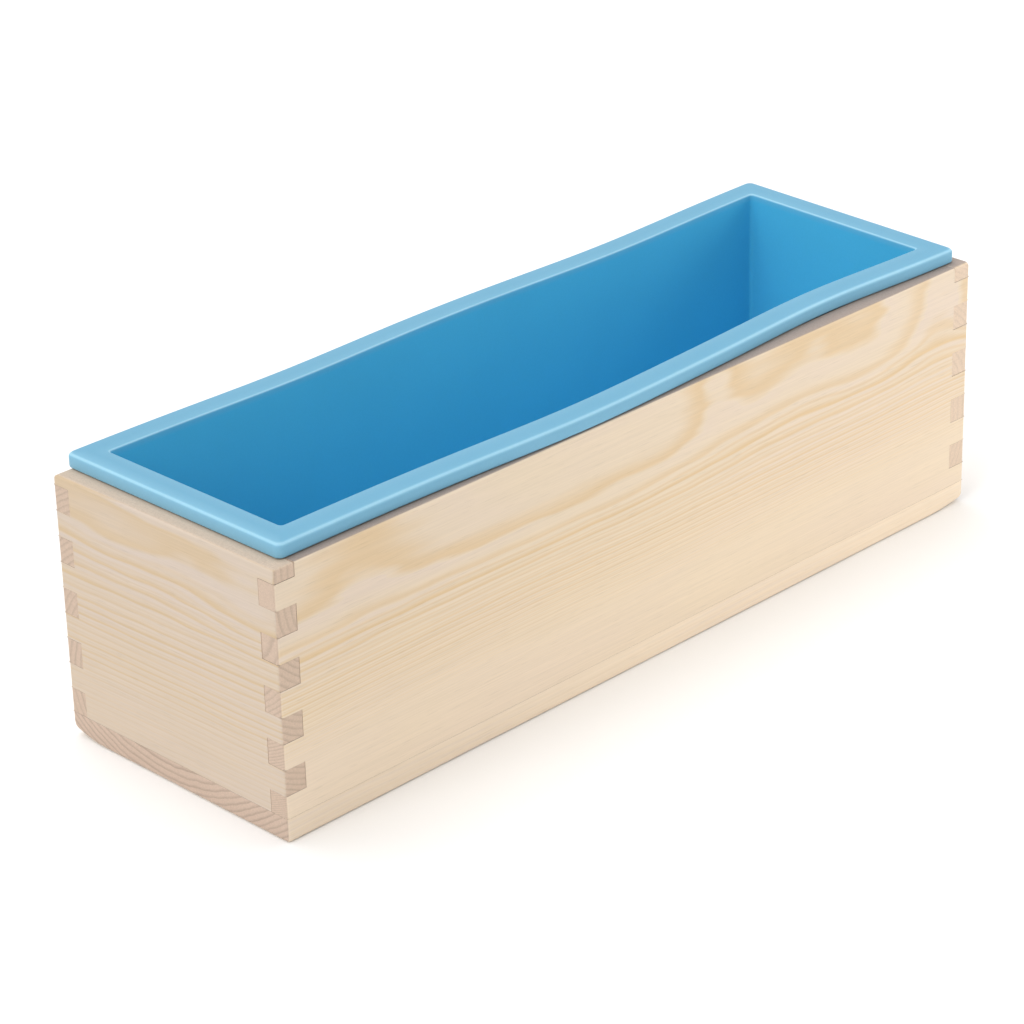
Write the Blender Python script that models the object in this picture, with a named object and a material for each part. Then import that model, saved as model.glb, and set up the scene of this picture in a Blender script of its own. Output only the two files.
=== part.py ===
"""Soap loaf mould: a finger-jointed pine box with a loose silicone liner that lifts out.

Metres, +Z up.  X runs along the box, Y across it, and the origin is under the middle of the
bottom board.  Four wall boards interlock at the corners and stand on a bottom board as large as
the whole box.  The liner stands on the bottom board, and its flange hangs over the wall tops.
"""

import math

import bmesh
import bpy
import numpy as np
from mathutils import Vector

# Outside of the wooden box.
BOX_LENGTH = 0.280
BOX_WIDTH = 0.088
BOX_HEIGHT = 0.079

# Boards.
BOTTOM_THICKNESS = 0.0070
SIDE_THICKNESS = 0.0062
END_THICKNESS = 0.0070
GAP = 0.0003
EASE = 0.0008
EASE_SEGMENTS = 2
CORNER_SEGMENTS = 4
CORNER_RADIUS = 0.0012

# Finger joints: the topmost finger at each corner belongs to the end board and is cut short by
# the top edge, by a different amount at each corner.
FINGER_PITCH = 0.00765
FINGER_LINES = 9
TOP_FINGER = {"front_left": 0.0040, "front_right": 0.0047, "rear_left": 0.0033, "rear_right": 0.0043}

# Liner.
FLANGE_LENGTH = 0.2734
FLANGE_WIDTH = 0.0848
FLANGE_REACH = 0.0081
FLANGE_THICKNESS = 0.0042
FLANGE_LIFT = 0.0004
LINER_SHIFT_X = 0.0014
LINER_SHIFT_Y = 0.0013
LINER_WALL = 0.0018
LINER_FLOOR = 0.0030
LINER_DRAFT = 0.0012
FLOOR_FILLET = 0.0015
RIM_FILLET = 0.0012
LIP_FILLET = 0.0006
RIM_CORNER = 0.0018
LIP_CORNER = 0.0012
LONG_SPANS = 28
SHORT_SPANS = 2

# How the soft long walls of the liner lean out (+) or in (-): amount, place along X, reach.
# The far end stands slightly askew: this much further out for each metre towards the rear.
FRONT_BOW = ((0.0025, -0.025, 0.045), (-0.0026, 0.080, 0.036))
REAR_BOW = ((-0.0016, -0.062, 0.038), (-0.0022, 0.065, 0.042))
BOW_AT_FLOOR = 0.15
FAR_END_SKEW = 0.02

# Heights that follow.
WALL_FOOT = BOTTOM_THICKNESS + GAP
WALL_HEIGHT = BOX_HEIGHT - WALL_FOOT
LINER_FOOT = BOTTOM_THICKNESS + GAP
FLANGE_UNDERSIDE = BOX_HEIGHT + FLANGE_LIFT
RIM_TOP = FLANGE_UNDERSIDE + FLANGE_THICKNESS


def clear_scene():
    """Remove every object of the open file."""
    for item in list(bpy.data.objects):
        bpy.data.objects.remove(item, do_unlink=True)


def make_material(name, colour, roughness):
    """A plain Principled material."""
    material = bpy.data.materials.new(name)
    material.use_nodes = True
    shader = material.node_tree.nodes["Principled BSDF"]
    shader.inputs["Base Color"].default_value = (*colour, 1.0)
    shader.inputs["Roughness"].default_value = roughness
    shader.inputs["Metallic"].default_value = 0.0
    return material


def add_piece(name, bm, material):
    """Turn a bmesh into a named object with outward faces."""
    bmesh.ops.recalc_face_normals(bm, faces=bm.faces)
    mesh = bpy.data.meshes.new(name)
    bm.to_mesh(mesh)
    bm.free()
    mesh.materials.append(material)
    piece = bpy.data.objects.new(name, mesh)
    bpy.context.scene.collection.objects.link(piece)
    return piece


def add_frame(name, location):
    """An empty that groups pieces."""
    frame = bpy.data.objects.new(name, None)
    frame.location = location
    bpy.context.scene.collection.objects.link(frame)
    return frame


def extrude_outline(points, direction):
    """A prism: the closed outline filled and pushed along a direction."""
    bm = bmesh.new()
    outline = bm.faces.new([bm.verts.new(point) for point in points])
    pushed = bmesh.ops.extrude_face_region(bm, geom=[outline])
    moved = [item for item in pushed["geom"] if isinstance(item, bmesh.types.BMVert)]
    bmesh.ops.translate(bm, verts=moved, vec=direction)
    return bm


def ease_edges(bm, planes):
    """Round every edge that lies on two of the given planes, each an axis number and a place."""
    near = 1e-6

    def shared(edge):
        return [
            plane
            for plane in planes
            if all(abs(vertex.co[plane[0]] - plane[1]) < near for vertex in edge.verts)
        ]

    chosen = [edge for edge in bm.edges if len(shared(edge)) == 2]
    bmesh.ops.bevel(
        bm, geom=chosen, offset=EASE, segments=EASE_SEGMENTS, profile=0.5, affect="EDGES"
    )


def joint_lines(corner):
    """Heights of the joint lines at a corner, with the foot and the top, in the walls' own frame."""
    lines = [WALL_HEIGHT - TOP_FINGER[corner] - FINGER_PITCH * step for step in range(FINGER_LINES)]
    return [0.0, *sorted(lines), WALL_HEIGHT]


def comb_edge(lines, owns_foot, tip, root):
    """Points up one end of a board: out to the tip where it owns the finger, back at the root."""
    last = len(lines) - 2
    points = []
    for index, (low, high) in enumerate(zip(lines, lines[1:])):
        owned = (index % 2 == 0) == owns_foot
        reach = tip if owned else root
        shrink = GAP / 2 if owned else -GAP / 2
        start = low + shrink if index > 0 else low
        end = high - shrink if index < last else high
        points += [(reach, start), (reach, end)]
    return points


def comb_board(name, length, thickness, mate_thickness, owns_foot, corners, material):
    """A wall board along its own X, outer face at Y = 0 looking down -Y, foot at Z = 0.

    corners names the corner at the board's -X end and the one at its +X end.
    """
    tip = length / 2
    root = tip - mate_thickness - GAP
    rising = comb_edge(joint_lines(corners[1]), owns_foot, tip, root)
    falling = [(-x, z) for x, z in reversed(comb_edge(joint_lines(corners[0]), owns_foot, tip, root))]
    bm = extrude_outline([(x, 0.0, z) for x, z in rising + falling], Vector((0.0, thickness, 0.0)))
    ease_edges(bm, [(1, 0.0), (0, tip), (0, -tip), (2, WALL_HEIGHT)])
    return add_piece(name, bm, material)


def side_board(name, corners, material):
    """A long board, which owns the lowest finger at both ends."""
    return comb_board(name, BOX_LENGTH, SIDE_THICKNESS, END_THICKNESS, True, corners, material)


def end_board(name, corners, material):
    """A short board, which owns the topmost finger at both ends."""
    return comb_board(name, BOX_WIDTH, END_THICKNESS, SIDE_THICKNESS, False, corners, material)


def arc(centre, radius, start, sweep, segments):
    """Points on an arc in plan, both ends included, angles in radians."""
    angles = [start + sweep * step / segments for step in range(segments + 1)]
    return [(centre[0] + radius * math.cos(a), centre[1] + radius * math.sin(a)) for a in angles]


def bottom_board(material):
    """The board under the walls, its corners and lower edges rounded."""
    half_length = BOX_LENGTH / 2
    half_width = BOX_WIDTH / 2
    corners = ((1, 1), (-1, 1), (-1, -1), (1, -1))
    plan = []
    for turn, (side_x, side_y) in enumerate(corners):
        centre = (side_x * (half_length - CORNER_RADIUS), side_y * (half_width - CORNER_RADIUS))
        plan += arc(centre, CORNER_RADIUS, turn * math.pi / 2, math.pi / 2, CORNER_SEGMENTS)
    bm = extrude_outline([(x, y, 0.0) for x, y in plan], Vector((0.0, 0.0, BOTTOM_THICKNESS)))
    rim = [edge for edge in bm.edges if all(vertex.co.z < GAP for vertex in edge.verts)]
    bmesh.ops.bevel(bm, geom=rim, offset=EASE, segments=EASE_SEGMENTS, profile=0.5, affect="EDGES")
    return add_piece("bottom_board", bm, material)


def bow(x, terms):
    """Sideways lean of a long liner wall at x: a sum of smooth bumps."""
    return sum(amount * np.exp(-(((x - place) / reach) ** 2)) for amount, place, reach in terms)


def liner_ring(inset, height, corner, bow_weight):
    """One level loop of the liner: the flange outline drawn in by inset, its long sides bowed
    and its far end askew."""
    half_length = FLANGE_LENGTH / 2 - inset
    half_width = FLANGE_WIDTH / 2 - inset
    corners = ((1, 1), (-1, 1), (-1, -1), (1, -1))
    spans = (LONG_SPANS, SHORT_SPANS, LONG_SPANS, SHORT_SPANS)
    arcs = []
    for turn, (side_x, side_y) in enumerate(corners):
        centre = (side_x * (half_length - corner), side_y * (half_width - corner))
        arcs.append(arc(centre, corner, turn * math.pi / 2, math.pi / 2, CORNER_SEGMENTS))
    plan = []
    for turn, count in enumerate(spans):
        start = np.array(arcs[turn][-1])
        end = np.array(arcs[(turn + 1) % 4][0])
        plan += arcs[turn]
        plan += [tuple(start + (end - start) * step / count) for step in range(1, count)]
    points = np.array(plan)
    lean = np.where(points[:, 1] < 0.0, -bow(points[:, 0], FRONT_BOW), bow(points[:, 0], REAR_BOW))
    points[:, 1] += bow_weight * lean
    points[:, 0] += FAR_END_SKEW * points[:, 1] * np.clip(points[:, 0] / half_length, 0.0, 1.0)
    return [(x, y, height) for x, y in points]


def silicone_liner(material):
    """The open-topped liner: one closed skin through level rings, from its underside over the
    flange and down to its floor.  Its origin is on the line that it lifts along."""
    underside = FLANGE_UNDERSIDE - LINER_FOOT
    top = RIM_TOP - LINER_FOOT
    body = FLANGE_REACH - LINER_WALL
    mouth = FLANGE_REACH
    bevel = RIM_FILLET * (1.0 - math.sqrt(0.5))
    rings = [
        liner_ring(body + LINER_DRAFT + FLOOR_FILLET, 0.0, LIP_CORNER, BOW_AT_FLOOR),
        liner_ring(body + LINER_DRAFT, FLOOR_FILLET, LIP_CORNER, BOW_AT_FLOOR),
        liner_ring(body, underside, LIP_CORNER, 1.0),
        liner_ring(LIP_FILLET, underside, RIM_CORNER, 1.0),
        liner_ring(0.0, underside + LIP_FILLET, RIM_CORNER, 1.0),
        liner_ring(0.0, top - RIM_FILLET, RIM_CORNER, 1.0),
        liner_ring(bevel, top - bevel, RIM_CORNER, 1.0),
        liner_ring(RIM_FILLET, top, RIM_CORNER, 1.0),
        liner_ring(mouth - LIP_FILLET, top, LIP_CORNER, 1.0),
        liner_ring(mouth, top - LIP_FILLET, LIP_CORNER, 1.0),
        liner_ring(mouth + LINER_DRAFT, LINER_FLOOR + FLOOR_FILLET, LIP_CORNER, BOW_AT_FLOOR),
        liner_ring(mouth + LINER_DRAFT + FLOOR_FILLET, LINER_FLOOR, LIP_CORNER, BOW_AT_FLOOR),
    ]
    bm = bmesh.new()
    loops = [[bm.verts.new(point) for point in ring] for ring in rings]
    for lower, upper in zip(loops, loops[1:]):
        for index in range(len(lower)):
            following = (index + 1) % len(lower)
            bm.faces.new((lower[index], lower[following], upper[following], upper[index]))
    bm.faces.new(loops[0])
    bm.faces.new(loops[-1])
    liner = add_piece("silicone_liner", bm, material)
    liner.data.shade_smooth()
    liner.data.set_sharp_from_angle(angle=math.radians(40.0))
    liner.location = (LINER_SHIFT_X, LINER_SHIFT_Y, LINER_FOOT)
    return liner


def build_box(frame):
    """The five boards, placed round the box and parented to its frame."""
    pine = make_material("pale_pine", (0.74, 0.60, 0.43), 0.6)
    end_pine = make_material("end_pine", (0.70, 0.56, 0.41), 0.6)
    base_pine = make_material("bottom_pine", (0.66, 0.50, 0.36), 0.65)
    quarter = math.pi / 2
    half_length = BOX_LENGTH / 2
    half_width = BOX_WIDTH / 2
    placed = (
        (side_board("side_front", ("front_left", "front_right"), pine), (0.0, -half_width), 0.0),
        (side_board("side_rear", ("rear_right", "rear_left"), pine), (0.0, half_width), math.pi),
        (end_board("end_left", ("rear_left", "front_left"), end_pine), (-half_length, 0.0), -quarter),
        (end_board("end_right", ("front_right", "rear_right"), end_pine), (half_length, 0.0), quarter),
    )
    for board, (x, y), turn in placed:
        board.location = (x, y, WALL_FOOT)
        board.rotation_euler = (0.0, 0.0, turn)
        board.parent = frame
    bottom_board(base_pine).parent = frame


def main():
    """Build the mould."""
    clear_scene()
    build_box(add_frame("box_frame", (0.0, 0.0, 0.0)))
    silicone_liner(make_material("blue_silicone", (0.16, 0.42, 0.60), 0.45))


main()
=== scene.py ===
"""Soap loaf mould: a finger-jointed pine box with a loose blue silicone liner.

Metres, +Z up.  X runs along the box and Y across it, with -Y the front.  Each board and the liner
is one closed skin made from arrays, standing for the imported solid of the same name.
"""

import logging
import math
from dataclasses import dataclass
from enum import Enum
from typing import Mapping, Optional, Sequence, Union

import bpy
import numpy as np
from mathutils import Matrix, Vector


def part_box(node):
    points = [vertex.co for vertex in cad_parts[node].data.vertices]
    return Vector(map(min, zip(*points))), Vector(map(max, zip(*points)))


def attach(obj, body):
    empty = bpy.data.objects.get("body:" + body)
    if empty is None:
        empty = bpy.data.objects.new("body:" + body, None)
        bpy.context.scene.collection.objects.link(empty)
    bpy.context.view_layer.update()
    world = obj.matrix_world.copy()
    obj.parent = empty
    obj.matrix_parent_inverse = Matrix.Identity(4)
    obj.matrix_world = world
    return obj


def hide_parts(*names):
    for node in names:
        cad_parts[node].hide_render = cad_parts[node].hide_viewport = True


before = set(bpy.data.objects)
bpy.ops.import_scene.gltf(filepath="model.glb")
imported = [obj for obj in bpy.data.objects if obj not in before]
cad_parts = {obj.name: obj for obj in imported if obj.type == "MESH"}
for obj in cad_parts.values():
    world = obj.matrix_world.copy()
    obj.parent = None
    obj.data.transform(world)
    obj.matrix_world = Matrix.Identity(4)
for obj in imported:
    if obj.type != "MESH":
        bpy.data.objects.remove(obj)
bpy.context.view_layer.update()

LOG = logging.getLogger("soap_mould")

MM = 0.001
PER_METRE = 1000.0
SAME_PLACE = 0.001 * MM
Socket = bpy.types.NodeSocket
Setting = Union[float, int, bool, str, Sequence[float]]
Feed = Union[Socket, Setting]


# ---- Laying out shader nodes ----


class Sheet:
    """Lays nodes into one node tree and joins them."""

    def __init__(self, tree: bpy.types.NodeTree) -> None:
        """Keeps the tree that the nodes go into."""
        self.tree = tree

    def put(
        self, kind: str, feeds: Mapping[Union[str, int], Feed], **settings: Setting
    ) -> bpy.types.Node:
        """Adds one node.

        Args:
            kind: Blender's name for the node type.
            feeds: What goes into its inputs, by name or number: another node's output, or a value.
            settings: The node's own properties.

        Returns:
            The new node.
        """
        node = self.tree.nodes.new(kind)
        for name, value in settings.items():
            setattr(node, name, value)
        for key, feed in feeds.items():
            socket = node.inputs[key]
            if isinstance(feed, bpy.types.NodeSocket):
                self.tree.links.new(feed, socket)
            else:
                socket.default_value = feed
        return node

    def sum_of(self, operation: str, first: Feed, second: Feed = 0.0, third: Feed = 0.0) -> Socket:
        """One Math node.

        Args:
            operation: The Math node's operation.
            first: Its first number.
            second: Its second number, where it has one.
            third: Its third number, where it has one.

        Returns:
            The result.
        """
        feeds = {0: first, 1: second, 2: third}
        return self.put("ShaderNodeMath", feeds, operation=operation).outputs[0]

    def times(self, first: Feed, second: Feed, plus: Optional[Feed] = None) -> Socket:
        """A product, with a third number added where one is given.

        Args:
            first: The first factor.
            second: The second factor.
            plus: What is added.

        Returns:
            The result.
        """
        if plus is None:
            return self.sum_of("MULTIPLY", first, second)
        return self.sum_of("MULTIPLY_ADD", first, second, plus)

    def vector(self, operation: str, first: Feed, second: Feed = (0.0, 0.0, 0.0)) -> bpy.types.Node:
        """One Vector Math node on two vectors."""
        return self.put("ShaderNodeVectorMath", {0: first, 1: second}, operation=operation)

    def scaled(self, vector: Feed, factor: Feed) -> Socket:
        """A vector or colour times one number."""
        feeds = {0: vector, 3: factor}
        return self.put("ShaderNodeVectorMath", feeds, operation="SCALE").outputs[0]

    def in_millimetres(self, place: Feed) -> Socket:
        """A place in metres, told in millimetres."""
        return self.vector("MULTIPLY", place, (PER_METRE, PER_METRE, PER_METRE)).outputs[0]

    def ramp(
        self, value: Feed, low: Feed, high: Feed, out_low: Feed = 0.0, out_high: Feed = 1.0
    ) -> Socket:
        """A smooth rise of one number between two places.

        Args:
            value: The number that is read.
            low: Where the rise starts.
            high: Where it ends.
            out_low: The result below the start.
            out_high: The result above the end.

        Returns:
            The risen number.
        """
        feeds = {0: value, 1: low, 2: high, 3: out_low, 4: out_high}
        return self.put("ShaderNodeMapRange", feeds, interpolation_type="SMOOTHSTEP").outputs[0]

    def blend(self, share: Feed, under: Feed, over: Feed) -> Socket:
        """Two colours mixed.

        Args:
            share: How much of the second colour.
            under: The first colour.
            over: The second colour.

        Returns:
            The mixed colour.
        """
        feeds = {0: share, 6: under, 7: over}
        return self.put("ShaderNodeMix", feeds, data_type="RGBA").outputs[2]

    def noise(
        self,
        place: Feed,
        scale: Union[float, tuple],
        detail: float,
        seed: Feed,
        rough: float = 0.5,
    ) -> bpy.types.Node:
        """One four-dimensional noise.

        Args:
            place: Where it is read.
            scale: Lumps to the unit, or one such number for each axis.
            detail: Finer layers added.
            seed: The fourth coordinate, so that no two boards are alike.
            rough: Share of each finer layer.

        Returns:
            The noise node.
        """
        if isinstance(scale, tuple):
            place = self.vector("MULTIPLY", place, scale).outputs[0]
            scale = 1.0
        feeds = {"Vector": place, "Scale": scale, "Detail": detail, "W": seed, "Roughness": rough}
        return self.put("ShaderNodeTexNoise", feeds, noise_dimensions="4D")


def new_finish(name: str, shading: Mapping[str, Setting]) -> tuple:
    """A new material.

    Args:
        name: The material's name.
        shading: Values for its shader's inputs.

    Returns:
        The material, a sheet on its tree and its shader.
    """
    made = bpy.data.materials.new(name)
    made.use_nodes = True
    shader = made.node_tree.nodes["Principled BSDF"]
    for label, value in shading.items():
        shader.inputs[label].default_value = value
    return made, Sheet(made.node_tree), shader


def numbers_of(owner: object, labels: Sequence[str]) -> dict:
    """An owner's fields under their sockets' labels, so that Ring Rate is its ring_rate."""
    return {label: getattr(owner, label.lower().replace(" ", "_")) for label in labels}


def tones_of(owner: object, labels: Sequence[str]) -> dict:
    """An owner's linear colours under their sockets' labels, made opaque."""
    return {label: (*tone, 1.0) for label, tone in numbers_of(owner, labels).items()}


def feed_shader(
    sheet: Sheet, shader: bpy.types.Node, skin: bpy.types.Node, strength: float, depth: float
) -> None:
    """Feeds a shader's colour and roughness from a finish group, and its normal through a bump.

    Args:
        sheet: The material's sheet.
        shader: Its shader.
        skin: The placed finish group.
        strength: How strongly the bump tells.
        depth: How deep its relief is, in metres.
    """
    feeds = {"Height": skin.outputs["Height"], "Strength": strength, "Distance": depth}
    bump = sheet.put("ShaderNodeBump", feeds)
    links = sheet.tree.links
    links.new(skin.outputs["Color"], shader.inputs["Base Color"])
    links.new(skin.outputs["Roughness"], shader.inputs["Roughness"])
    links.new(bump.outputs[0], shader.inputs["Normal"])


def new_group(name: str, inputs: Mapping[str, tuple], outputs: Mapping[str, str]) -> tuple:
    """An empty node group with named sockets.

    Args:
        name: The group's name.
        inputs: For each input, its socket type and its default, or just the type.
        outputs: For each output, its socket type.

    Returns:
        The group, a sheet on its tree, what comes in by name and what goes out by name.
    """
    tree = bpy.data.node_groups.new(name, "ShaderNodeTree")
    for label, (kind, default) in inputs.items():
        socket = tree.interface.new_socket(label, in_out="INPUT", socket_type=kind)
        if default is not None:
            socket.default_value = default
    for label, kind in outputs.items():
        tree.interface.new_socket(label, in_out="OUTPUT", socket_type=kind)
    entry = tree.nodes.new("NodeGroupInput")
    leaving = tree.nodes.new("NodeGroupOutput")
    sheet = Sheet(tree)
    return tree, sheet, entry.outputs, leaving.inputs


FLOAT = "NodeSocketFloat"
COLOUR = "NodeSocketColor"
VECTOR = "NodeSocketVector"
PINE_NUMBERS = (
    "Seed", "Core", "Ring Rate", "Wander", "Fade From", "Fade To", "Faded",
    "False Ring", "End Lines", "Dulled", "Dark Core",
)
PINE_TONES = ("Cream", "Honey", "Blush", "End Tone", "Top Shade Tone")
SWELL_NUMBERS = ("Along", "Across", "Reach Along", "Reach Across", "Amount")
# Liner shares and tones: a greyer rim haze that is partly dust and partly painted sheen, and paler
# painted highlight lines.
SILICONE_SHARES = ("Dust_and_sheen", "Painted_highlight")
SILICONE_TONES = ("Body", "Bloom", "Highlight_tone")
ANY_TONE = (0.5, 0.5, 0.5, 1.0)


def swell_group() -> bpy.types.NodeTree:
    """A soft bump in the ring count at one place on a board, as where the grain dips.

    The value is Amount times exp(-(dx/Reach X)^2 - (dz/Reach Z)^2), with dx and dz measured from
    the centre along and across the grain, in millimetres.

    Returns:
        The group.
    """
    inputs = {"Vector": (VECTOR, None)}
    inputs |= {label: (FLOAT, 0.0) for label in (*SWELL_NUMBERS, "Before")}
    tree, sheet, given, result = new_group("grain_swell", inputs, {"Swell": FLOAT})
    parts = sheet.put("ShaderNodeSeparateXYZ", {0: given["Vector"]}).outputs
    along = sheet.sum_of("SUBTRACT", parts[0], given["Along"])
    along = sheet.sum_of("DIVIDE", along, given["Reach Along"])
    across = sheet.sum_of("SUBTRACT", parts[2], given["Across"])
    across = sheet.sum_of("DIVIDE", across, given["Reach Across"])
    square = sheet.times(along, along, sheet.times(across, across))
    bell = sheet.sum_of("EXPONENT", sheet.times(square, -1.0))
    total = sheet.times(bell, given["Amount"], given["Before"])
    tree.links.new(total, result["Swell"])
    return tree


def pine_group() -> bpy.types.NodeTree:
    """Pine cut from a log: yearly rings round a pith line, fibres along it, pores across it.

    Vector is in the log's own frame, X along the pith.  A point at r millimetres from the pith
    lies in ring (r - Core)^2 * Ring Rate, plus Swell, plus slow and quick wander, so that rings
    get thinner outwards.  Each ring darkens slowly to its late wood and then stops short, and a
    False Ring may lie between.  Lines fade with r.  Painted shade darkens the board towards its
    start, and Dark Core takes tone away towards the pith.  Up-facing tops blend to a greyer top
    tone, partly the sawn top's own tone and partly painted shade from the liner's flange.

    Returns:
        The group.
    """
    inputs = {"Vector": (VECTOR, None), "Swell": (FLOAT, 0.0)}
    inputs |= {label: (FLOAT, 0.0) for label in PINE_NUMBERS}
    inputs |= {"End": (FLOAT, 0.0), "Top": (FLOAT, 0.0)}
    inputs |= {label: (COLOUR, ANY_TONE) for label in PINE_TONES}
    outputs = {"Color": COLOUR, "Roughness": FLOAT, "Height": FLOAT}
    tree, sheet, given, result = new_group("pine", inputs, outputs)
    place = sheet.in_millimetres(given["Vector"])
    seed = given["Seed"]

    # Slow wander of the rings along the board.
    drift = sheet.noise(place, (0.011, 0.030, 0.030), 2.0, seed, 0.35).outputs["Color"]
    drift = sheet.vector("SUBTRACT", drift, (0.5, 0.5, 0.5)).outputs[0]
    drift = sheet.scaled(drift, given["Wander"])
    drift = sheet.vector("MULTIPLY", drift, (0.0, 1.0, 1.0)).outputs[0]
    bent = sheet.vector("ADD", place, drift).outputs[0]
    from_pith = sheet.vector("MULTIPLY", bent, (0.0, 1.0, 1.0)).outputs[0]
    radius = sheet.vector("LENGTH", from_pith).outputs["Value"]

    # Ring count at the point.
    beyond = sheet.sum_of("SUBTRACT", radius, given["Core"])
    count = sheet.times(beyond, beyond)
    count = sheet.times(count, given["Ring Rate"], given["Swell"])
    ripple = sheet.noise(place, (0.055, 0.30, 0.30), 1.0, seed, 0.4).outputs[0]
    count = sheet.sum_of("ADD", count, sheet.times(ripple, 0.40, -0.20))
    year = sheet.sum_of("FLOOR", count)
    season = sheet.sum_of("FRACT", count)

    # Late wood: a slow rise and a quick stop, stronger in some years.
    rise = sheet.ramp(season, 0.38, 0.84)
    stop = sheet.ramp(season, 0.84, 1.0, 1.0, 0.0)
    late = sheet.times(rise, stop)
    feeds = {"W": sheet.sum_of("ADD", year, seed)}
    luck = sheet.put("ShaderNodeTexWhiteNoise", feeds, noise_dimensions="1D").outputs[0]
    strength = sheet.times(luck, 0.50, 0.52)
    fade = sheet.ramp(radius, given["Fade From"], given["Fade To"], 1.0, given["Faded"])

    # A weaker line in mid-year, once past the first rings.
    false_rise = sheet.ramp(season, 0.16, 0.34)
    false_rise = sheet.times(false_rise, sheet.ramp(season, 0.34, 0.48, 1.0, 0.0))
    past_first = sheet.ramp(count, 1.5, 2.3, 0.0, given["False Ring"])
    false_ring = sheet.times(false_rise, past_first)
    seen_late = sheet.times(late, strength, false_ring)
    late_face = sheet.times(seen_late, fade)

    # Fibres: fine streaks along the grain, and specks where they are cut across.
    fibre = sheet.noise(place, (0.03, 2.2, 2.2), 3.0, seed, 0.6).outputs[0]
    tick = sheet.noise(place, (0.16, 3.4, 3.4), 0.0, seed).outputs[0]
    tick = sheet.ramp(tick, 0.66, 0.80)
    speck = sheet.noise(place, 2.6, 2.0, seed, 0.6).outputs[0]

    # Slow changes of tone: warm patches and paler, rosier ones.
    other_seed = sheet.sum_of("ADD", seed, 7.0)
    tone = sheet.noise(place, (0.012, 0.05, 0.05), 2.0, other_seed).outputs[0]
    tone = sheet.ramp(tone, 0.35, 0.68)
    early = sheet.ramp(season, 0.0, 0.45, 1.0, 0.0)
    blush = sheet.times(sheet.times(early, 0.55, 0.25), tone)

    # The long-grain colour.
    colour = sheet.blend(blush, given["Cream"], given["Blush"])
    colour = sheet.blend(sheet.times(late_face, 0.85), colour, given["Honey"])
    streak = sheet.ramp(fibre, 0.30, 0.70, 0.965, 1.030)
    colour = sheet.scaled(colour, streak)
    dark_tick = sheet.times(tick, -0.075, 1.0)
    colour = sheet.scaled(colour, dark_tick)
    sawn = sheet.times(streak, sheet.ramp(speck, 0.30, 0.66, 0.92, 1.05))
    # Up-facing tops take the top tone: partly the sawn top's own greyer tone, partly painted shade
    # from the liner's flange.
    colour = sheet.blend(given["Top"], colour, sheet.scaled(given["Top Shade Tone"], sawn))

    # The end-grain colour: darker late rings and a mottle of open fibres.
    ring_share = sheet.times(late, sheet.times(strength, 0.6, 0.2))
    end_shade = sheet.times(ring_share, given["End Lines"])
    end_shade = sheet.sum_of("SUBTRACT", 1.02, end_shade)
    mottle = sheet.ramp(speck, 0.3, 0.7, 0.93, 1.05)
    end_shade = sheet.times(end_shade, mottle)
    end_colour = sheet.scaled(given["End Tone"], end_shade)

    # Painted shade darkens a board towards its start; it is also duller nearer the heart of the
    # log.
    along = sheet.put("ShaderNodeSeparateXYZ", {0: place}).outputs[0]
    at_start = sheet.sum_of("SUBTRACT", 1.0, given["Dulled"])
    at_core = sheet.sum_of("SUBTRACT", 1.0, given["Dark Core"])
    shade_and_core = sheet.ramp(along, -140.0, 60.0, at_start, 1.0)
    shade_and_core = sheet.times(shade_and_core, sheet.ramp(radius, 30.0, 70.0, at_core, 1.0))
    colour = sheet.scaled(colour, shade_and_core)
    tree.links.new(sheet.blend(given["End"], colour, end_colour), result["Color"])

    # Roughness and relief.
    smooth = sheet.times(late_face, -0.10, 0.60)
    smooth = sheet.times(fibre, 0.10, smooth)
    rough = sheet.times(given["End"], 0.14, smooth)
    tree.links.new(rough, result["Roughness"])
    relief = sheet.times(late_face, 0.5, sheet.times(fibre, 0.55))
    relief = sheet.times(tick, -0.5, relief)
    open_fibres = sheet.times(ring_share, 0.8)
    open_fibres = sheet.times(speck, 1.2, open_fibres)
    feeds = {0: given["End"], 2: relief, 3: open_fibres}
    height = sheet.put("ShaderNodeMix", feeds, data_type="FLOAT").outputs[0]
    tree.links.new(height, result["Height"])
    return tree


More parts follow.
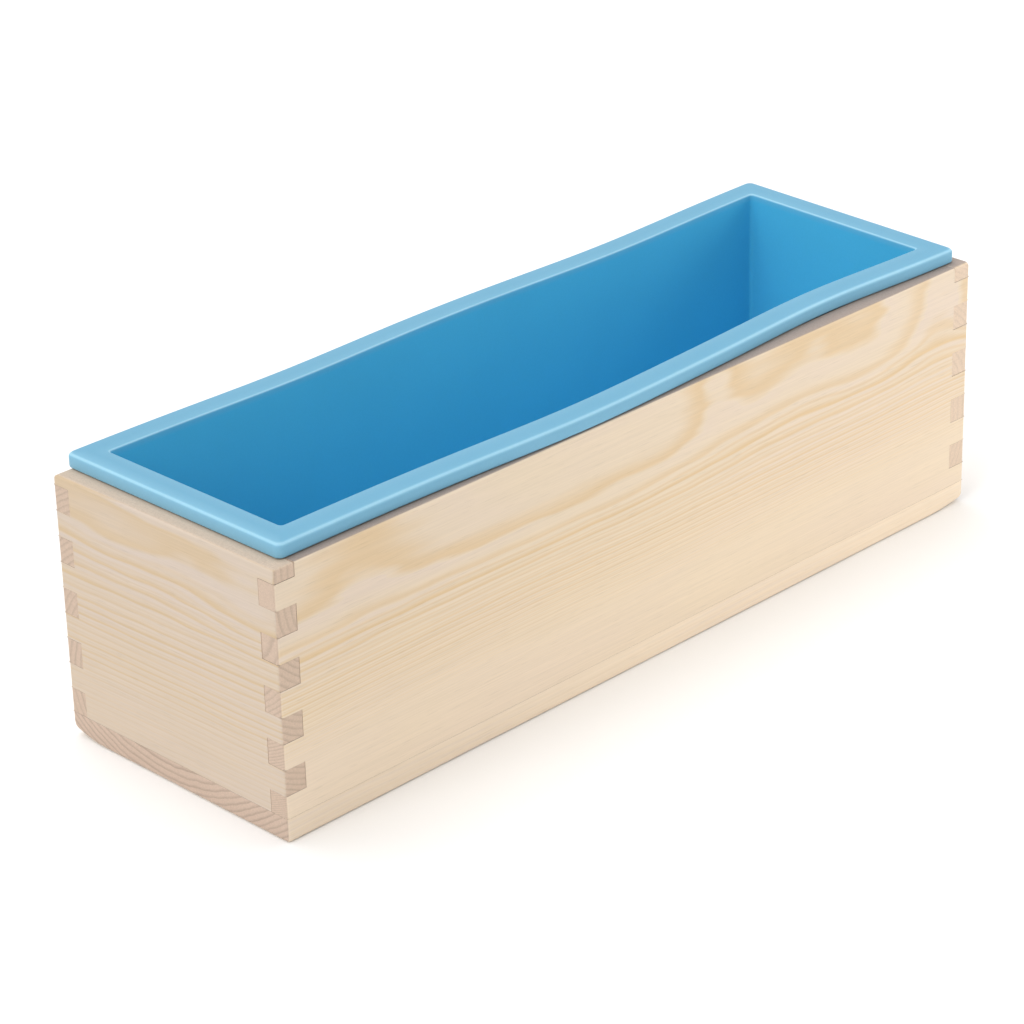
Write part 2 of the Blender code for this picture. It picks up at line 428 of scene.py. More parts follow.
def silicone_group() -> bpy.types.NodeTree:
    """Moulded silicone: an even blue that clouds a little, with a greyer haze on the rim.

    The first share runs from 0 inside the tray to 1 on the rim; the haze there is a share of a
    greyer colour, broken by noise, and is partly settled dust and partly painted sheen.  The
    second share does the same for paler painted highlights along its rounded edges and near end.

    Returns:
        The group.
    """
    inputs = {"Vector": (VECTOR, None)}
    inputs |= {label: (FLOAT, 0.0) for label in SILICONE_SHARES}
    inputs |= {label: (COLOUR, ANY_TONE) for label in SILICONE_TONES}
    outputs = {"Color": COLOUR, "Roughness": FLOAT, "Height": FLOAT}
    tree, sheet, given, result = new_group("moulded_silicone", inputs, outputs)
    place = sheet.in_millimetres(given["Vector"])
    cloud = sheet.noise(place, 0.035, 3.0, 3.0, 0.5).outputs[0]
    grain = sheet.noise(place, 1.9, 3.0, 5.0, 0.6).outputs[0]
    patchy = sheet.times(cloud, 0.18, 0.90)
    # Greyer haze, partly settled dust and partly painted sheen, from 0 inside the tray to 1 on the
    # rim.
    bloom = sheet.times(given["Dust_and_sheen"], patchy)
    colour = sheet.blend(bloom, given["Body"], given["Bloom"])
    # Paler painted highlight lines along the rounded edges and over the near end's flange.
    painted_highlight = sheet.times(given["Painted_highlight"], patchy)
    colour = sheet.blend(painted_highlight, colour, given["Highlight_tone"])
    colour = sheet.scaled(colour, sheet.ramp(cloud, 0.3, 0.7, 0.985, 1.015))
    colour = sheet.scaled(colour, sheet.ramp(grain, 0.35, 0.75, 0.99, 1.02))
    tree.links.new(colour, result["Color"])
    rough = sheet.times(cloud, 0.10, 0.33)
    rough = sheet.times(grain, 0.06, rough)
    tree.links.new(rough, result["Roughness"])
    swell = sheet.times(grain, 0.12, cloud)
    tree.links.new(swell, result["Height"])
    return tree


# ---- Finishes ----


class GrainWay(Enum):
    """The way a board's fibres run: their axis, and its turn from X in degrees."""

    LENGTHWAYS = ((1.0, 0.0, 0.0), 0.0)
    CROSSWAYS = ((0.0, 1.0, 0.0), 90.0)


@dataclass(frozen=True)
class Swell:
    """A dip or hump in the grain: its place and reach each way in mm, and the ring count added."""

    along: float
    across: float
    reach_along: float
    reach_across: float
    amount: float


@dataclass(frozen=True)
class PineFinish:
    """Planed and sanded pine, unvarnished.

    The pith is the log's middle line: its place across the board's thickness and its height, both
    in metres, with a lean that lifts it along the board and a yaw that turns it, in degrees.
    Core, fades and rates are read as in the pine group; tones are linear colours.
    """

    name: str
    grain: GrainWay
    pith_depth: float
    pith_height: float
    lean: float
    yaw: float
    seed: float
    core: float = 0.0
    ring_rate: float = 0.0083
    wander: float = 7.0
    fade_from: float = 36.0
    fade_to: float = 58.0
    faded: float = 0.10
    false_ring: float = 0.0
    end_lines: float = 0.23
    # Painted shade towards the board's start, as a share of tone lost.
    dulled: float = 0.0
    dark_core: float = 0.0
    cream: tuple = (0.812, 0.672, 0.502)
    honey: tuple = (0.760, 0.545, 0.300)
    blush: tuple = (0.800, 0.660, 0.545)
    end_tone: tuple = (0.570, 0.437, 0.342)
    # The top tone is partly the sawn top's own grey and partly painted shade from the flange.
    top_shade_tone: tuple = (0.395, 0.318, 0.276)
    swells: tuple = ()

    def material(self, groups: Mapping[str, bpy.types.NodeTree]) -> bpy.types.Material:
        """Builds the material.

        Args:
            groups: The shared node groups by name.

        Returns:
            The material.
        """
        shading = {"IOR": 1.45, "Specular IOR Level": 0.38}
        made, sheet, shader = new_finish(self.name, shading)
        where = sheet.put("ShaderNodeTexCoord", {})
        axis, turn = self.grain.value
        middle = (self.pith_depth * axis[1], self.pith_depth * axis[0], self.pith_height)
        turned = (0.0, math.radians(self.lean), math.radians(turn + self.yaw))
        feeds = {"Vector": where.outputs["Object"], "Location": middle, "Rotation": turned}
        log_frame = sheet.put("ShaderNodeMapping", feeds, vector_type="TEXTURE").outputs[0]
        cut = sheet.vector("DOT_PRODUCT", where.outputs["Normal"], axis).outputs["Value"]
        end = sheet.ramp(sheet.sum_of("ABSOLUTE", cut), 0.55, 0.85)
        # Up-facing faces, which take the top tone with its painted shade.
        facing = sheet.put("ShaderNodeSeparateXYZ", {0: where.outputs["Normal"]}).outputs[2]
        top = sheet.ramp(facing, 0.70, 0.96)
        swell: Feed = 0.0
        in_mm = sheet.in_millimetres(log_frame)
        for bump in self.swells:
            feeds = {"Vector": in_mm, "Before": swell} | numbers_of(bump, SWELL_NUMBERS)
            swell = sheet.put("ShaderNodeGroup", feeds, node_tree=groups["grain_swell"]).outputs[0]
        feeds = {"Vector": log_frame, "Swell": swell, "End": end, "Top": top}
        feeds |= numbers_of(self, PINE_NUMBERS) | tones_of(self, PINE_TONES)
        pine = sheet.put("ShaderNodeGroup", feeds, node_tree=groups["pine"])
        feed_shader(sheet, shader, pine, 0.35, 0.06 * MM)
        return made


@dataclass(frozen=True)
class SiliconeFinish:
    """Soft satin silicone that lets a little light in."""

    name: str = "blue_silicone"
    body: tuple = (0.085, 0.496, 0.742)
    # Greyer haze colour: partly dust, partly painted sheen.
    bloom: tuple = (0.158, 0.395, 0.562)
    # Paler colour of the painted highlights.
    highlight_tone: tuple = (0.400, 0.680, 0.820)
    scatter: float = 0.12

    def material(self, groups: Mapping[str, bpy.types.NodeTree]) -> bpy.types.Material:
        """Builds the material.

        Args:
            groups: The shared node groups by name.

        Returns:
            The material.
        """
        shading = {
            "IOR": 1.43,
            "Specular IOR Level": 0.30,
            "Subsurface Weight": self.scatter,
            "Subsurface Radius": (0.6, 1.0, 1.4),
            "Subsurface Scale": 1.6 * MM,
        }
        made, sheet, shader = new_finish(self.name, shading)
        feeds = {"Vector": sheet.put("ShaderNodeTexCoord", {}).outputs["Object"]}
        feeds |= tones_of(self, SILICONE_TONES)
        for label in SILICONE_SHARES:
            share = sheet.put("ShaderNodeAttribute", {}, attribute_name=label.lower())
            feeds[label] = share.outputs["Fac"]
        skin = sheet.put("ShaderNodeGroup", feeds, node_tree=groups["moulded_silicone"])
        feed_shader(sheet, shader, skin, 0.25, 0.15 * MM)
        return made


# ---- Meshes ----


def make_piece(
    name: str, points: np.ndarray, faces: Sequence, material: bpy.types.Material
) -> bpy.types.Object:
    """Puts arrays into a mesh object at the origin.

    Args:
        name: The piece's name.
        points: One row per vertex.
        faces: The faces' vertex numbers.
        material: Its finish.

    Returns:
        The object, smooth shaded.
    """
    mesh = bpy.data.meshes.new(name)
    mesh.from_pydata(points, [], faces)
    mesh.materials.append(material)
    mesh.shade_smooth()
    mesh.update()
    piece = bpy.data.objects.new(name, mesh)
    bpy.context.scene.collection.objects.link(piece)
    return piece


def seat(piece: bpy.types.Object, body: str, node: str) -> None:
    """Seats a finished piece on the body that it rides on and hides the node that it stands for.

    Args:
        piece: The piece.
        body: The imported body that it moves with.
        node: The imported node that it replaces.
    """
    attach(piece, body)
    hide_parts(node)
    LOG.info("%s rides on %s, %d faces", piece.name, body, len(piece.data.polygons))


@dataclass(frozen=True)
class CornerJoint:
    """The finger joint at one upright corner: heights of its lines, and how wide each one opens."""

    top_finger: float
    seed: int
    foot: float
    top: float
    pitch: float = 7.65 * MM
    count: int = 9
    tightest: float = 0.02 * MM
    loosest: float = 0.08 * MM

    def lines(self) -> np.ndarray:
        """Heights of the joint lines, lowest first: below the top finger, one every pitch."""
        return np.sort(self.top - self.top_finger - self.pitch * np.arange(self.count))

    def openings(self) -> np.ndarray:
        """How far each joint line stands open, in metres, drawn once for the corner."""
        drawn = np.random.default_rng(self.seed).random(self.count)
        return self.tightest + (self.loosest - self.tightest) * drawn

    def recesses(self) -> np.ndarray:
        """How far each finger's end was sanded below the mate's face, in metres."""
        drawn = np.random.default_rng(self.seed + 50).random(self.count + 1)
        return 0.10 * MM * drawn


@dataclass
class CombBoard:
    """A wall board with fingers at both ends.

    In its own frame it runs along u, its outer face is at depth 0 and h is the height.
    """

    name: str
    length: float
    thickness: float
    mate: float
    owns_foot: bool
    start: CornerJoint
    finish: CornerJoint
    turn: float
    place: tuple
    foot_gap: float
    corner_ease: tuple
    ease: float = 0.85 * MM
    inner_ease: float = 0.45 * MM
    crisp: float = 0.05 * MM
    root_gap: float = 0.06 * MM

    def owned_spans(self, joint: CornerJoint) -> tuple:
        """Heights where this board's fingers start and end at one corner.

        Every line is drawn back into this board's fingers by half its opening.

        Args:
            joint: The corner's joint.

        Returns:
            The lower heights, the upper heights and the fingers' recesses.
        """
        foot = joint.foot + self.foot_gap
        middle = joint.lines()
        half = joint.openings() / 2
        lows = np.concatenate(([foot], middle + half))
        highs = np.concatenate((middle - half, [joint.top]))
        mine = (np.arange(joint.count + 1) % 2 == 0) == self.owns_foot
        return lows[mine], highs[mine], joint.recesses()[mine]

    def cells(self) -> tuple:
        """The board's face cut into cells by every joint line.

        Columns are the start fingers, the body and the finish fingers; rows lie between the
        heights where a finger of either end starts or stops.

        Returns:
            Node places u and h, each a grid, and the grid of cells that hold wood.
        """
        spans = [self.owned_spans(joint) for joint in (self.start, self.finish)]
        ends = np.array([self.start.foot + self.foot_gap, self.start.top])
        breaks = [np.concatenate(span[:2]) for span in spans]
        heights = np.unique(np.concatenate([ends, *breaks]).round(7))
        middles = (heights[:-1] + heights[1:]) / 2
        tip = self.length / 2
        root = tip - self.mate - self.root_gap
        filled = np.ones((3, len(middles)), bool)
        across = np.tile(np.array([-tip, -root, root, tip])[:, None], (1, len(heights)))
        for column, node, span, sign in ((0, 0, spans[0], 1.0), (2, 3, spans[1], -1.0)):
            lows, highs, recess = (part[:, None] for part in span)
            filled[column] = ((middles > lows) & (middles < highs)).any(axis=0)
            touching = (heights >= lows - SAME_PLACE) & (heights <= highs + SAME_PLACE)
            across[node] += sign * (touching * recess).sum(axis=0)
        return across, np.tile(heights, (4, 1)), filled

    def skin(self) -> tuple:
        """The closed skin of the cells.

        Outer and inner faces on every filled cell, and a wall wherever a filled cell meets an
        empty one.

        Returns:
            Vertices as (u, depth, h), faces, each vertex's grid column, row and side, and the
            padded grid of filled cells.
        """
        across, heights, filled = self.cells()
        padded = np.pad(filled, 1)
        used = padded[:-1, :-1] | padded[1:, :-1] | padded[:-1, 1:] | padded[1:, 1:]
        number = np.full(used.shape, -1)
        number[used] = np.arange(used.sum())
        total = int(used.sum())
        column, row = np.nonzero(used)
        u, h = across[used], heights[used]
        outer = np.column_stack((u, np.zeros(total), h))
        inner = np.column_stack((u, np.full(total, self.thickness), h))

        def corners(mask: np.ndarray) -> tuple:
            """Each chosen cell's outer corner numbers, anticlockwise from low u, low h."""
            i, j = np.nonzero(mask)
            return number[i, j], number[i + 1, j], number[i + 1, j + 1], number[i, j + 1]

        a, b, c, d = corners(filled)
        faces = [np.column_stack((a, b, c, d)), np.column_stack((d, c, b, a)) + total]
        neighbours = (padded[1:-1, :-2], padded[2:, 1:-1], padded[1:-1, 2:], padded[:-2, 1:-1])
        for turn, neighbour in enumerate(neighbours):
            numbers = corners(filled & ~neighbour)
            first, second = numbers[turn], numbers[(turn + 1) % 4]
            faces.append(np.column_stack((first, first + total, second + total, second)))
        side = np.repeat([0, 1], total)
        labels = np.column_stack((np.tile(column, 2), np.tile(row, 2), side))
        return np.vstack((outer, inner)), np.vstack(faces), labels, padded

    def edge_rounding(
        self, mesh: bpy.types.Mesh, labels: np.ndarray, padded: np.ndarray
    ) -> np.ndarray:
        """How far each edge is rounded: crisp on joints, eased on the box's own edges, else not.

        Args:
            mesh: The board's mesh.
            labels: Each vertex's grid column, row and side.
            padded: The grid of filled cells with an empty border.

        Returns:
            One radius per edge, in metres.
        """
        pairs = np.empty(len(mesh.edges) * 2, np.int32)
        mesh.edges.foreach_get("vertices", pairs)
        first, second = labels[pairs[0::2]], labels[pairs[1::2]]
        i = np.minimum(first[:, 0], second[:, 0])
        j = np.minimum(first[:, 1], second[:, 1])
        through = first[:, 2] != second[:, 2]
        level = (first[:, 1] == second[:, 1]) & ~through
        upright = (first[:, 0] == second[:, 0]) & ~through
        filled = padded.astype(int)
        count = filled[i, j] + filled[i + 1, j] + filled[i, j + 1] + filled[i + 1, j + 1]
        sharp = through & (count % 2 == 1)
        sharp |= level & (filled[i + 1, j + 1] != filled[i + 1, j])
        sharp |= upright & (filled[i + 1, j + 1] != filled[i, j + 1])
        highest = labels[:, 1].max()
        top = (first[:, 1] == highest) & (second[:, 1] == highest)
        tip = np.isin(first[:, 0], (0, 3)) & (first[:, 0] == second[:, 0])
        outside = (first[:, 2] == 0) & (second[:, 2] == 0)
        radius = np.where(sharp, self.crisp, 0.0)
        radius[sharp & level & top & outside] = self.ease
        radius[sharp & level & top & ~outside] = self.inner_ease
        radius[sharp & upright & tip & outside] = self.ease
        for column, rounding in zip((0, 3), self.corner_ease):
            radius[sharp & through & tip & top & (first[:, 0] == column)] = rounding
        return radius

    def build(self, material: bpy.types.Material) -> bpy.types.Object:
        """Builds the board in its place.

        The skin is turned about Z by the board's turn and moved to its place; the rounding is a
        bevel whose width follows each edge.

        Args:
            material: Its finish.

        Returns:
            The board.
        """
        local, faces, labels, padded = self.skin()
        cosine, sine = round(math.cos(self.turn)), round(math.sin(self.turn))
        points = np.column_stack(
            (
                cosine * local[:, 0] - sine * local[:, 1] + self.place[0],
                sine * local[:, 0] + cosine * local[:, 1] + self.place[1],
                local[:, 2],
            )
        )
        piece = make_piece(self.name, points, faces.tolist(), material)
        radius = self.edge_rounding(piece.data, labels, padded)
        weight = piece.data.attributes.new("bevel_weight_edge", "FLOAT", "EDGE")
        widest = float(radius.max())
        weight.data.foreach_set("value", (radius / widest).astype(np.float32))
        rounding = piece.modifiers.new("eased_edges", "BEVEL")
        rounding.limit_method = "WEIGHT"
        rounding.width = widest
        rounding.segments = 4
        rounding.use_clamp_overlap = False
        rounding.harden_normals = True
        return piece


@dataclass(frozen=True)
class RoundedPath:
    """Stations round a rectangle with rounded corners, anticlockwise from the +X +Y corner.

    A station is a corner centre, or a place between two, and an outward direction.  A loop of
    half sizes a, b and corner radius c is then centre * (a - c, b - c) + c * direction.
    """

    per_corner: int
    long_spans: int
    short_spans: int

    def stations(self) -> tuple:
        """Goes round the four corners and the spans between them.

        Returns:
            The centres and the directions, one row per station.
        """
        centres, directions = [], []
        corners = np.array(((1, 1), (-1, 1), (-1, -1), (1, -1)), float)
        for turn, spans in enumerate((self.long_spans, self.short_spans) * 2):
            angles = math.pi / 2 * (turn + np.linspace(0.0, 1.0, self.per_corner + 1))
            centres.append(np.tile(corners[turn], (len(angles), 1)))
            directions.append(np.column_stack((np.cos(angles), np.sin(angles))))
            share = (np.arange(1, spans) / spans)[:, None]
            centres.append(corners[turn] + (corners[(turn + 1) % 4] - corners[turn]) * share)
            directions.append(np.tile(directions[-1][-1], (spans - 1, 1)))
        return np.vstack(centres), np.vstack(directions)


def skin_of_rings(rings: np.ndarray) -> tuple:
    """Joins closed rings into one skin, with a flat cap on the first and on the last.

    Args:
        rings: Ring, station, coordinate; stations anticlockwise from above.

    Returns:
        Vertices and faces.
    """
    levels, stations = rings.shape[:2]
    here = np.arange(stations)
    after = np.roll(here, -1)
    level = np.arange(levels - 1)[:, None] * stations
    quads = np.stack(
        (level + here, level + after, level + stations + after, level + stations + here), axis=-1
    ).reshape(-1, 4)
    faces = quads.tolist()
    faces.append(here[::-1].tolist())
    faces.append((here + (levels - 1) * stations).tolist())
    return rings.reshape(-1, 3), faces


def quarter(steps: int) -> tuple:
    """Sine and one less cosine of a quarter turn, for the points of a rounding."""
    angle = np.linspace(0.0, math.pi / 2, steps + 1)
    return np.sin(angle), 1.0 - np.cos(angle)


@dataclass
class BottomBoard:
    """The board that the walls stand on, with two of its corners knocked off."""

    length: float
    width: float
    thickness: float
    ease: float = 0.8 * MM
    crisp: float = 0.08 * MM
    corner: float = 1.0 * MM
    knocks: tuple = ((-1.0, 1.0, 3.2 * MM, 6.0 * MM), (1.0, -1.0, 2.2 * MM, 7.0 * MM))

    def rings(self) -> np.ndarray:
        """Level loops from the underside up to the top.

        Near a knocked corner the lower edge is rounded further: the radius there is the ease plus
        the knock times exp(-(distance to the corner / reach)^2).

        Returns:
            Ring, station, coordinate.
        """
        centres, directions = RoundedPath(6, 60, 20).stations()
        half = np.array((self.length / 2, self.width / 2))
        edge = centres * (half - self.corner) + self.corner * directions
        radius = np.full(len(edge), self.ease)
        for side_x, side_y, amount, reach in self.knocks:
            away = np.hypot(*(edge - half * (side_x, side_y)).T)
            radius = radius + amount * np.exp(-((away / reach) ** 2))
        rise, lag = quarter(5)
        lower = [(radius * (1.0 - r), radius * c) for r, c in zip(rise, lag)]
        upper = [
            (self.crisp * c, self.thickness - self.crisp * (1.0 - r)) for r, c in zip(rise, lag)
        ]
        loops = []
        for draw_in, height in lower + upper:
            draw_in = np.broadcast_to(draw_in, radius.shape)[:, None]
            reach = np.maximum(self.corner - draw_in, 0.0)
            plan = centres * (half - self.corner) - centres * np.maximum(draw_in - self.corner, 0.0)
            plan = plan + reach * directions
            loops.append(np.column_stack((plan, np.broadcast_to(height, radius.shape))))
        return np.array(loops)

    def build(self, material: bpy.types.Material) -> bpy.types.Object:
        """Builds the board from its loops.

        Args:
            material: Its finish.

        Returns:
            The board.
        """
        piece = make_piece("bottom_board", *skin_of_rings(self.rings()), material)
        piece.data.set_sharp_from_angle(angle=math.radians(50.0))
        return piece


@dataclass
class PineBox:
    """The wooden box: four comb-jointed walls on a bottom board."""

    bottom_thickness: float = 7.0 * MM
    side_thickness: float = 6.2 * MM
    end_thickness: float = 7.0 * MM

    def build(self, groups: Mapping[str, bpy.types.NodeTree]) -> None:
        """Builds the five boards and seats them on the box's body.

        The corners are told anticlockwise from the front left, as top finger and seed; a wall lies
        its quarter turns on from the front and starts at the corner of the same number.

        Args:
            groups: The shared node groups by name.
        """
        low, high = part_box("side_front")
        half_length, half_width, top = high[0], -low[1], high[2]
        corners = ((4.0, 11), (4.7, 12), (4.3, 14), (3.3, 13))
        joints = [
            CornerJoint(finger * MM, seed, self.bottom_thickness, top) for finger, seed in corners
        ]
        side = {
            "length": 2 * half_length,
            "thickness": self.side_thickness,
            "mate": self.end_thickness,
            "owns_foot": True,
            "foot_gap": 0.03 * MM,
        }
        end = {
            "length": 2 * half_width,
            "thickness": self.end_thickness,
            "mate": self.side_thickness,
            "owns_foot": False,
            "foot_gap": 0.05 * MM,
        }
        walls = (
            ("side_front", 0, side, FRONT_PINE, (1.0 * MM, 1.0 * MM)),
            ("side_rear", 2, side, REAR_PINE, (1.0 * MM, 1.0 * MM)),
            ("end_left", 3, end, LEFT_PINE, (2.4 * MM, 0.9 * MM)),
            ("end_right", 1, end, RIGHT_PINE, (1.7 * MM, 1.4 * MM)),
        )
        for node, quarters, kind, finish, ease in walls:
            turn = quarters * math.pi / 2
            place = (half_length * round(math.sin(turn)), -half_width * round(math.cos(turn)))
            start, stop = joints[quarters], joints[(quarters + 1) % 4]
            board = CombBoard(
                f"{node}_board", start=start, finish=stop, turn=turn, place=place,
                corner_ease=ease, **kind,
            )
            seat(board.build(finish.material(groups)), "box", node)
        base = BottomBoard(2 * half_length, 2 * half_width, self.bottom_thickness)
        seat(base.build(BASE_PINE.material(groups)), "box", "bottom_board")


@dataclass
class SiliconeLiner:
    """The soft liner: a deep tray with a square-cut flange that lies over the box's edge.

    Each bow is a list of lean, place along and reach, in millimetres; the skew is the far end's
    lean per metre across; the origin is the liner's middle.
    """

    flange_length: float = 273.4 * MM
    flange_width: float = 84.8 * MM
    reach: float = 8.1 * MM
    wall: float = 1.8 * MM
    floor: float = 3.0 * MM
    draft: float = 1.2 * MM
    thickness: float = 4.4 * MM
    fillet: float = 1.5 * MM
    rim_round: float = 1.2 * MM
    lip_round: float = 0.6 * MM
    rim_corner: float = 1.8 * MM
    lip_corner: float = 1.2 * MM
    bow_at_floor: float = 0.15
    skew: float = 0.038
    front_bow: tuple = ((2.5, -25.0, 45.0), (-2.6, 80.0, 36.0))
    rear_bow: tuple = ((-1.6, -62.0, 38.0), (-2.2, 65.0, 42.0))
    origin: tuple = (1.4 * MM, 1.3 * MM)
    # Where and how strongly the near end's flange is painted paler as a painted highlight.
    near_highlight_line: float = 133.0 * MM
    near_highlight_blur: float = 1.5 * MM
    near_highlight_share: float = 0.24

    def section(self, foot: float, top: float) -> np.ndarray:
        """The liner's cut face, from the middle of its underside round to the middle of its floor.

        Args:
            foot: Height of its underside.
            top: Height of its rim.

        Returns:
            Rows of inset from the flange's outline, height, corner radius and share of the bow.
        """
        rise, lag = quarter(5)
        turning = tuple(zip(rise, lag))
        tight, shallow = self.lip_corner, self.bow_at_floor
        body = self.reach - self.wall
        outer = body + self.draft
        inner = self.reach + self.draft
        middle = self.flange_width / 2
        underside = top - self.thickness
        floor = foot + self.floor
        fillet, small, lip, big = self.fillet, self.lip_round / 2, self.lip_round, self.rim_round

        # Underside, outer foot rounding, outer wall.
        rows = [(middle - s * MM, foot, 0.5 * MM, 0.0) for s in (1.0, 12.0)]
        rows += [
            (outer + fillet * (1.0 - r), foot + fillet * c, tight, shallow) for r, c in turning
        ]
        for share in (0.25, 0.5, 0.75):
            lift = foot + fillet + share * (underside - foot - fillet)
            lean = shallow + (1.0 - shallow) * share
            rows.append((outer - self.draft * share, lift, tight, lean))

        # Flange: the turn under it, its two outer roundings, its top, the turn into the tray.
        rows += [(body - small * c, underside - small * (1.0 - r), tight, 1.0) for r, c in turning]
        rows += [(lip * (1.0 - r), underside + lip * c, self.rim_corner, 1.0) for r, c in turning]
        rows += [(big * c, top - big * (1.0 - r), self.rim_corner, 1.0) for r, c in turning]
        rows.append(((big + self.reach - lip) / 2, top, self.rim_corner, 1.0))
        rows += [(self.reach - lip * (1.0 - r), top - lip * c, tight, 1.0) for r, c in turning]

        # Inner wall, inner foot rounding, floor.
        for share in (0.025, 0.2, 0.4, 0.6, 0.8):
            drop = top - lip + share * (floor + fillet - top + lip)
            lean = 1.0 + (shallow - 1.0) * share
            rows.append((self.reach + self.draft * share, drop, tight, lean))
        rows += [
            (inner + fillet * c, floor + fillet * (1.0 - r), tight, shallow) for r, c in turning
        ]
        rows += [(middle - s * MM, floor, 0.5 * MM, 0.0) for s in (12.0, 1.0)]
        return np.array(rows)

    def dust_and_sheen(self, section: np.ndarray, top: float) -> np.ndarray:
        """How much of the greyer haze, partly dust and partly painted sheen, each row takes.

        It is 1 on the flange, 0.7 outside and 0 inside, where it falls away over the first
        millimetre below the rim.

        Args:
            section: The cut face's rows.
            top: Height of the rim.

        Returns:
            One share per row.
        """
        inset, height = section[:, 0], section[:, 1]
        inside = np.arange(len(section)) > int(np.argmax(np.isclose(height, top)))
        inside &= inset > self.reach - 2 * self.lip_round
        depth = np.clip((top - height) / (1.0 * MM), 0.0, 1.0)
        flange = height > top - self.thickness - 0.1 * MM
        return np.where(inside, 1.0 - depth, np.where(flange, 1.0, 0.7))

    def painted_highlight(self, section: np.ndarray, top: float) -> np.ndarray:
        """How much painted highlight each row of the section takes.

        A little on the flange's side, and along the outer rounding and the lip as
        exp(-(distance from the rounding's middle / width)^2), where the roundings catch the light.

        Args:
            section: The cut face's rows.
            top: Height of the rim.

        Returns:
            One share per row.
        """
        inset, height = section[:, 0], section[:, 1]
        side = 0.12 * ((inset < 0.2 * MM) & (height > top - self.thickness))
        slack = 1.0 - math.sqrt(0.5)
        shares = [side]
        roundings = (
            (0.0, self.rim_round, 0.50 * MM),
            (self.reach, self.lip_round, 0.30 * MM),
        )
        for place, radius, width in roundings:
            middle = abs(place - slack * radius)
            away = np.hypot(inset - middle, height - (top - slack * radius))
            shares.append(0.85 * np.exp(-((away / width) ** 2)))
        return np.max(shares, axis=0)

    @staticmethod
    def bow(along: np.ndarray, terms: tuple) -> np.ndarray:
        """Sideways lean of a long wall: the sum of lean * exp(-((along - place) / reach)^2).

        Args:
            along: Places along the wall, in metres.
            terms: Lean, place and reach of each bow, in millimetres.

        Returns:
            The lean at each place, in metres.
        """
        scaled = np.array(terms) * MM
        offset = along[..., None] - scaled[:, 1]
        return (scaled[:, 0] * np.exp(-((offset / scaled[:, 2]) ** 2))).sum(axis=-1)

    def rings(self, foot: float, top: float) -> np.ndarray:
        """The section carried round the rounded outline.

        Long walls lean by the bow, full at the rim and nearly none at the floor; the far end
        stands askew by the skew times the distance across.

        Args:
            foot: Height of its underside.
            top: Height of its rim.

        Returns:
            Ring, station, coordinate.
        """
        inset, height, corner, lean = self.section(foot, top).T[:, :, None]
        centres, directions = RoundedPath(6, 110, 24).stations()
        half_length = self.flange_length / 2 - inset
        half_width = self.flange_width / 2 - inset
        x = centres[:, 0] * (half_length - corner) + corner * directions[:, 0]
        y = centres[:, 1] * (half_width - corner) + corner * directions[:, 1]
        side = np.clip(y / np.maximum(half_width, MM), -1.0, 1.0)
        rear_share = np.clip(side, 0.0, 1.0)
        front_share = np.clip(-side, 0.0, 1.0)
        on_side = np.where(np.abs(centres[:, 1]) == 1.0, 1.0, np.abs(side))
        y = y + lean * on_side * (
            np.where(rear_share > 0, self.bow(x, self.rear_bow), 0.0)
            - np.where(front_share > 0, self.bow(x, self.front_bow), 0.0)
        )
        x = x + self.skew * y * np.clip(x / half_length, 0.0, 1.0)
        flat = np.broadcast_to(height, x.shape)
        return np.stack((x + self.origin[0], y + self.origin[1], flat), axis=-1)

    def build(self, groups: Mapping[str, bpy.types.NodeTree]) -> None:
        """Builds the liner and seats it on its own body.

        The near end's flange is painted paler, a painted highlight: its share rises from
        nothing to its full share over the blur beyond a line near that end.

        Args:
            groups: The shared node groups by name.
        """
        low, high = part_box("silicone_liner")
        rings = self.rings(low[2], high[2])
        piece = make_piece("silicone_liner_skin", *skin_of_rings(rings), SILICONE.material(groups))
        piece.data.set_sharp_from_angle(angle=math.radians(60.0))
        section = self.section(low[2], high[2])
        # Painted highlight over the near end's flange.
        near_end = np.clip((-rings[..., 0] - self.near_highlight_line) / self.near_highlight_blur, 0.0, 1.0)
        near_highlight = self.near_highlight_share * near_end * (rings[..., 2] > high[2] - self.thickness)
        # Shares per point: the greyer haze (partly dust, partly painted sheen) and the painted
        # highlights.
        shares = {
            "dust_and_sheen": np.broadcast_to(self.dust_and_sheen(section, high[2])[:, None], near_highlight.shape),
            "painted_highlight": np.maximum(self.painted_highlight(section, high[2])[:, None], near_highlight),
        }
        for label, share in shares.items():
            layer = piece.data.attributes.new(label, "FLOAT", "POINT")
            layer.data.foreach_set("value", share.ravel().astype(np.float32))
        seat(piece, "liner", "silicone_liner")


# The log that each board came from.
FRONT_PINE = PineFinish(
    "front_pine", GrainWay.LENGTHWAYS, pith_depth=-0.0140, pith_height=0.0750, lean=0.0, yaw=0.0,
    seed=3.7, core=26.75, ring_rate=0.020, wander=3.0, fade_from=44.0, fade_to=64.0, faded=0.18,
    false_ring=0.55, dulled=0.06, dark_core=0.08,
    cream=(0.849, 0.702, 0.525), honey=(0.785, 0.563, 0.312), blush=(0.836, 0.690, 0.570),
    swells=(
        Swell(-110.0, -3.0, 22.0, 13.0, 0.58),
        Swell(26.0, 0.0, 13.0, 14.0, 0.72),
        Swell(68.0, 0.0, 24.0, 12.0, 0.50),
        Swell(60.0, -20.0, 40.0, 13.0, 0.85),
        Swell(128.0, 0.0, 26.0, 30.0, 1.9),
    ),
)
REAR_PINE = PineFinish(
    "rear_pine", GrainWay.LENGTHWAYS, pith_depth=0.0120, pith_height=0.0200, lean=0.6, yaw=0.3,
    seed=21.3, core=-40.0, ring_rate=0.0033, wander=8.0, fade_from=60.0, fade_to=90.0, faded=0.4,
)
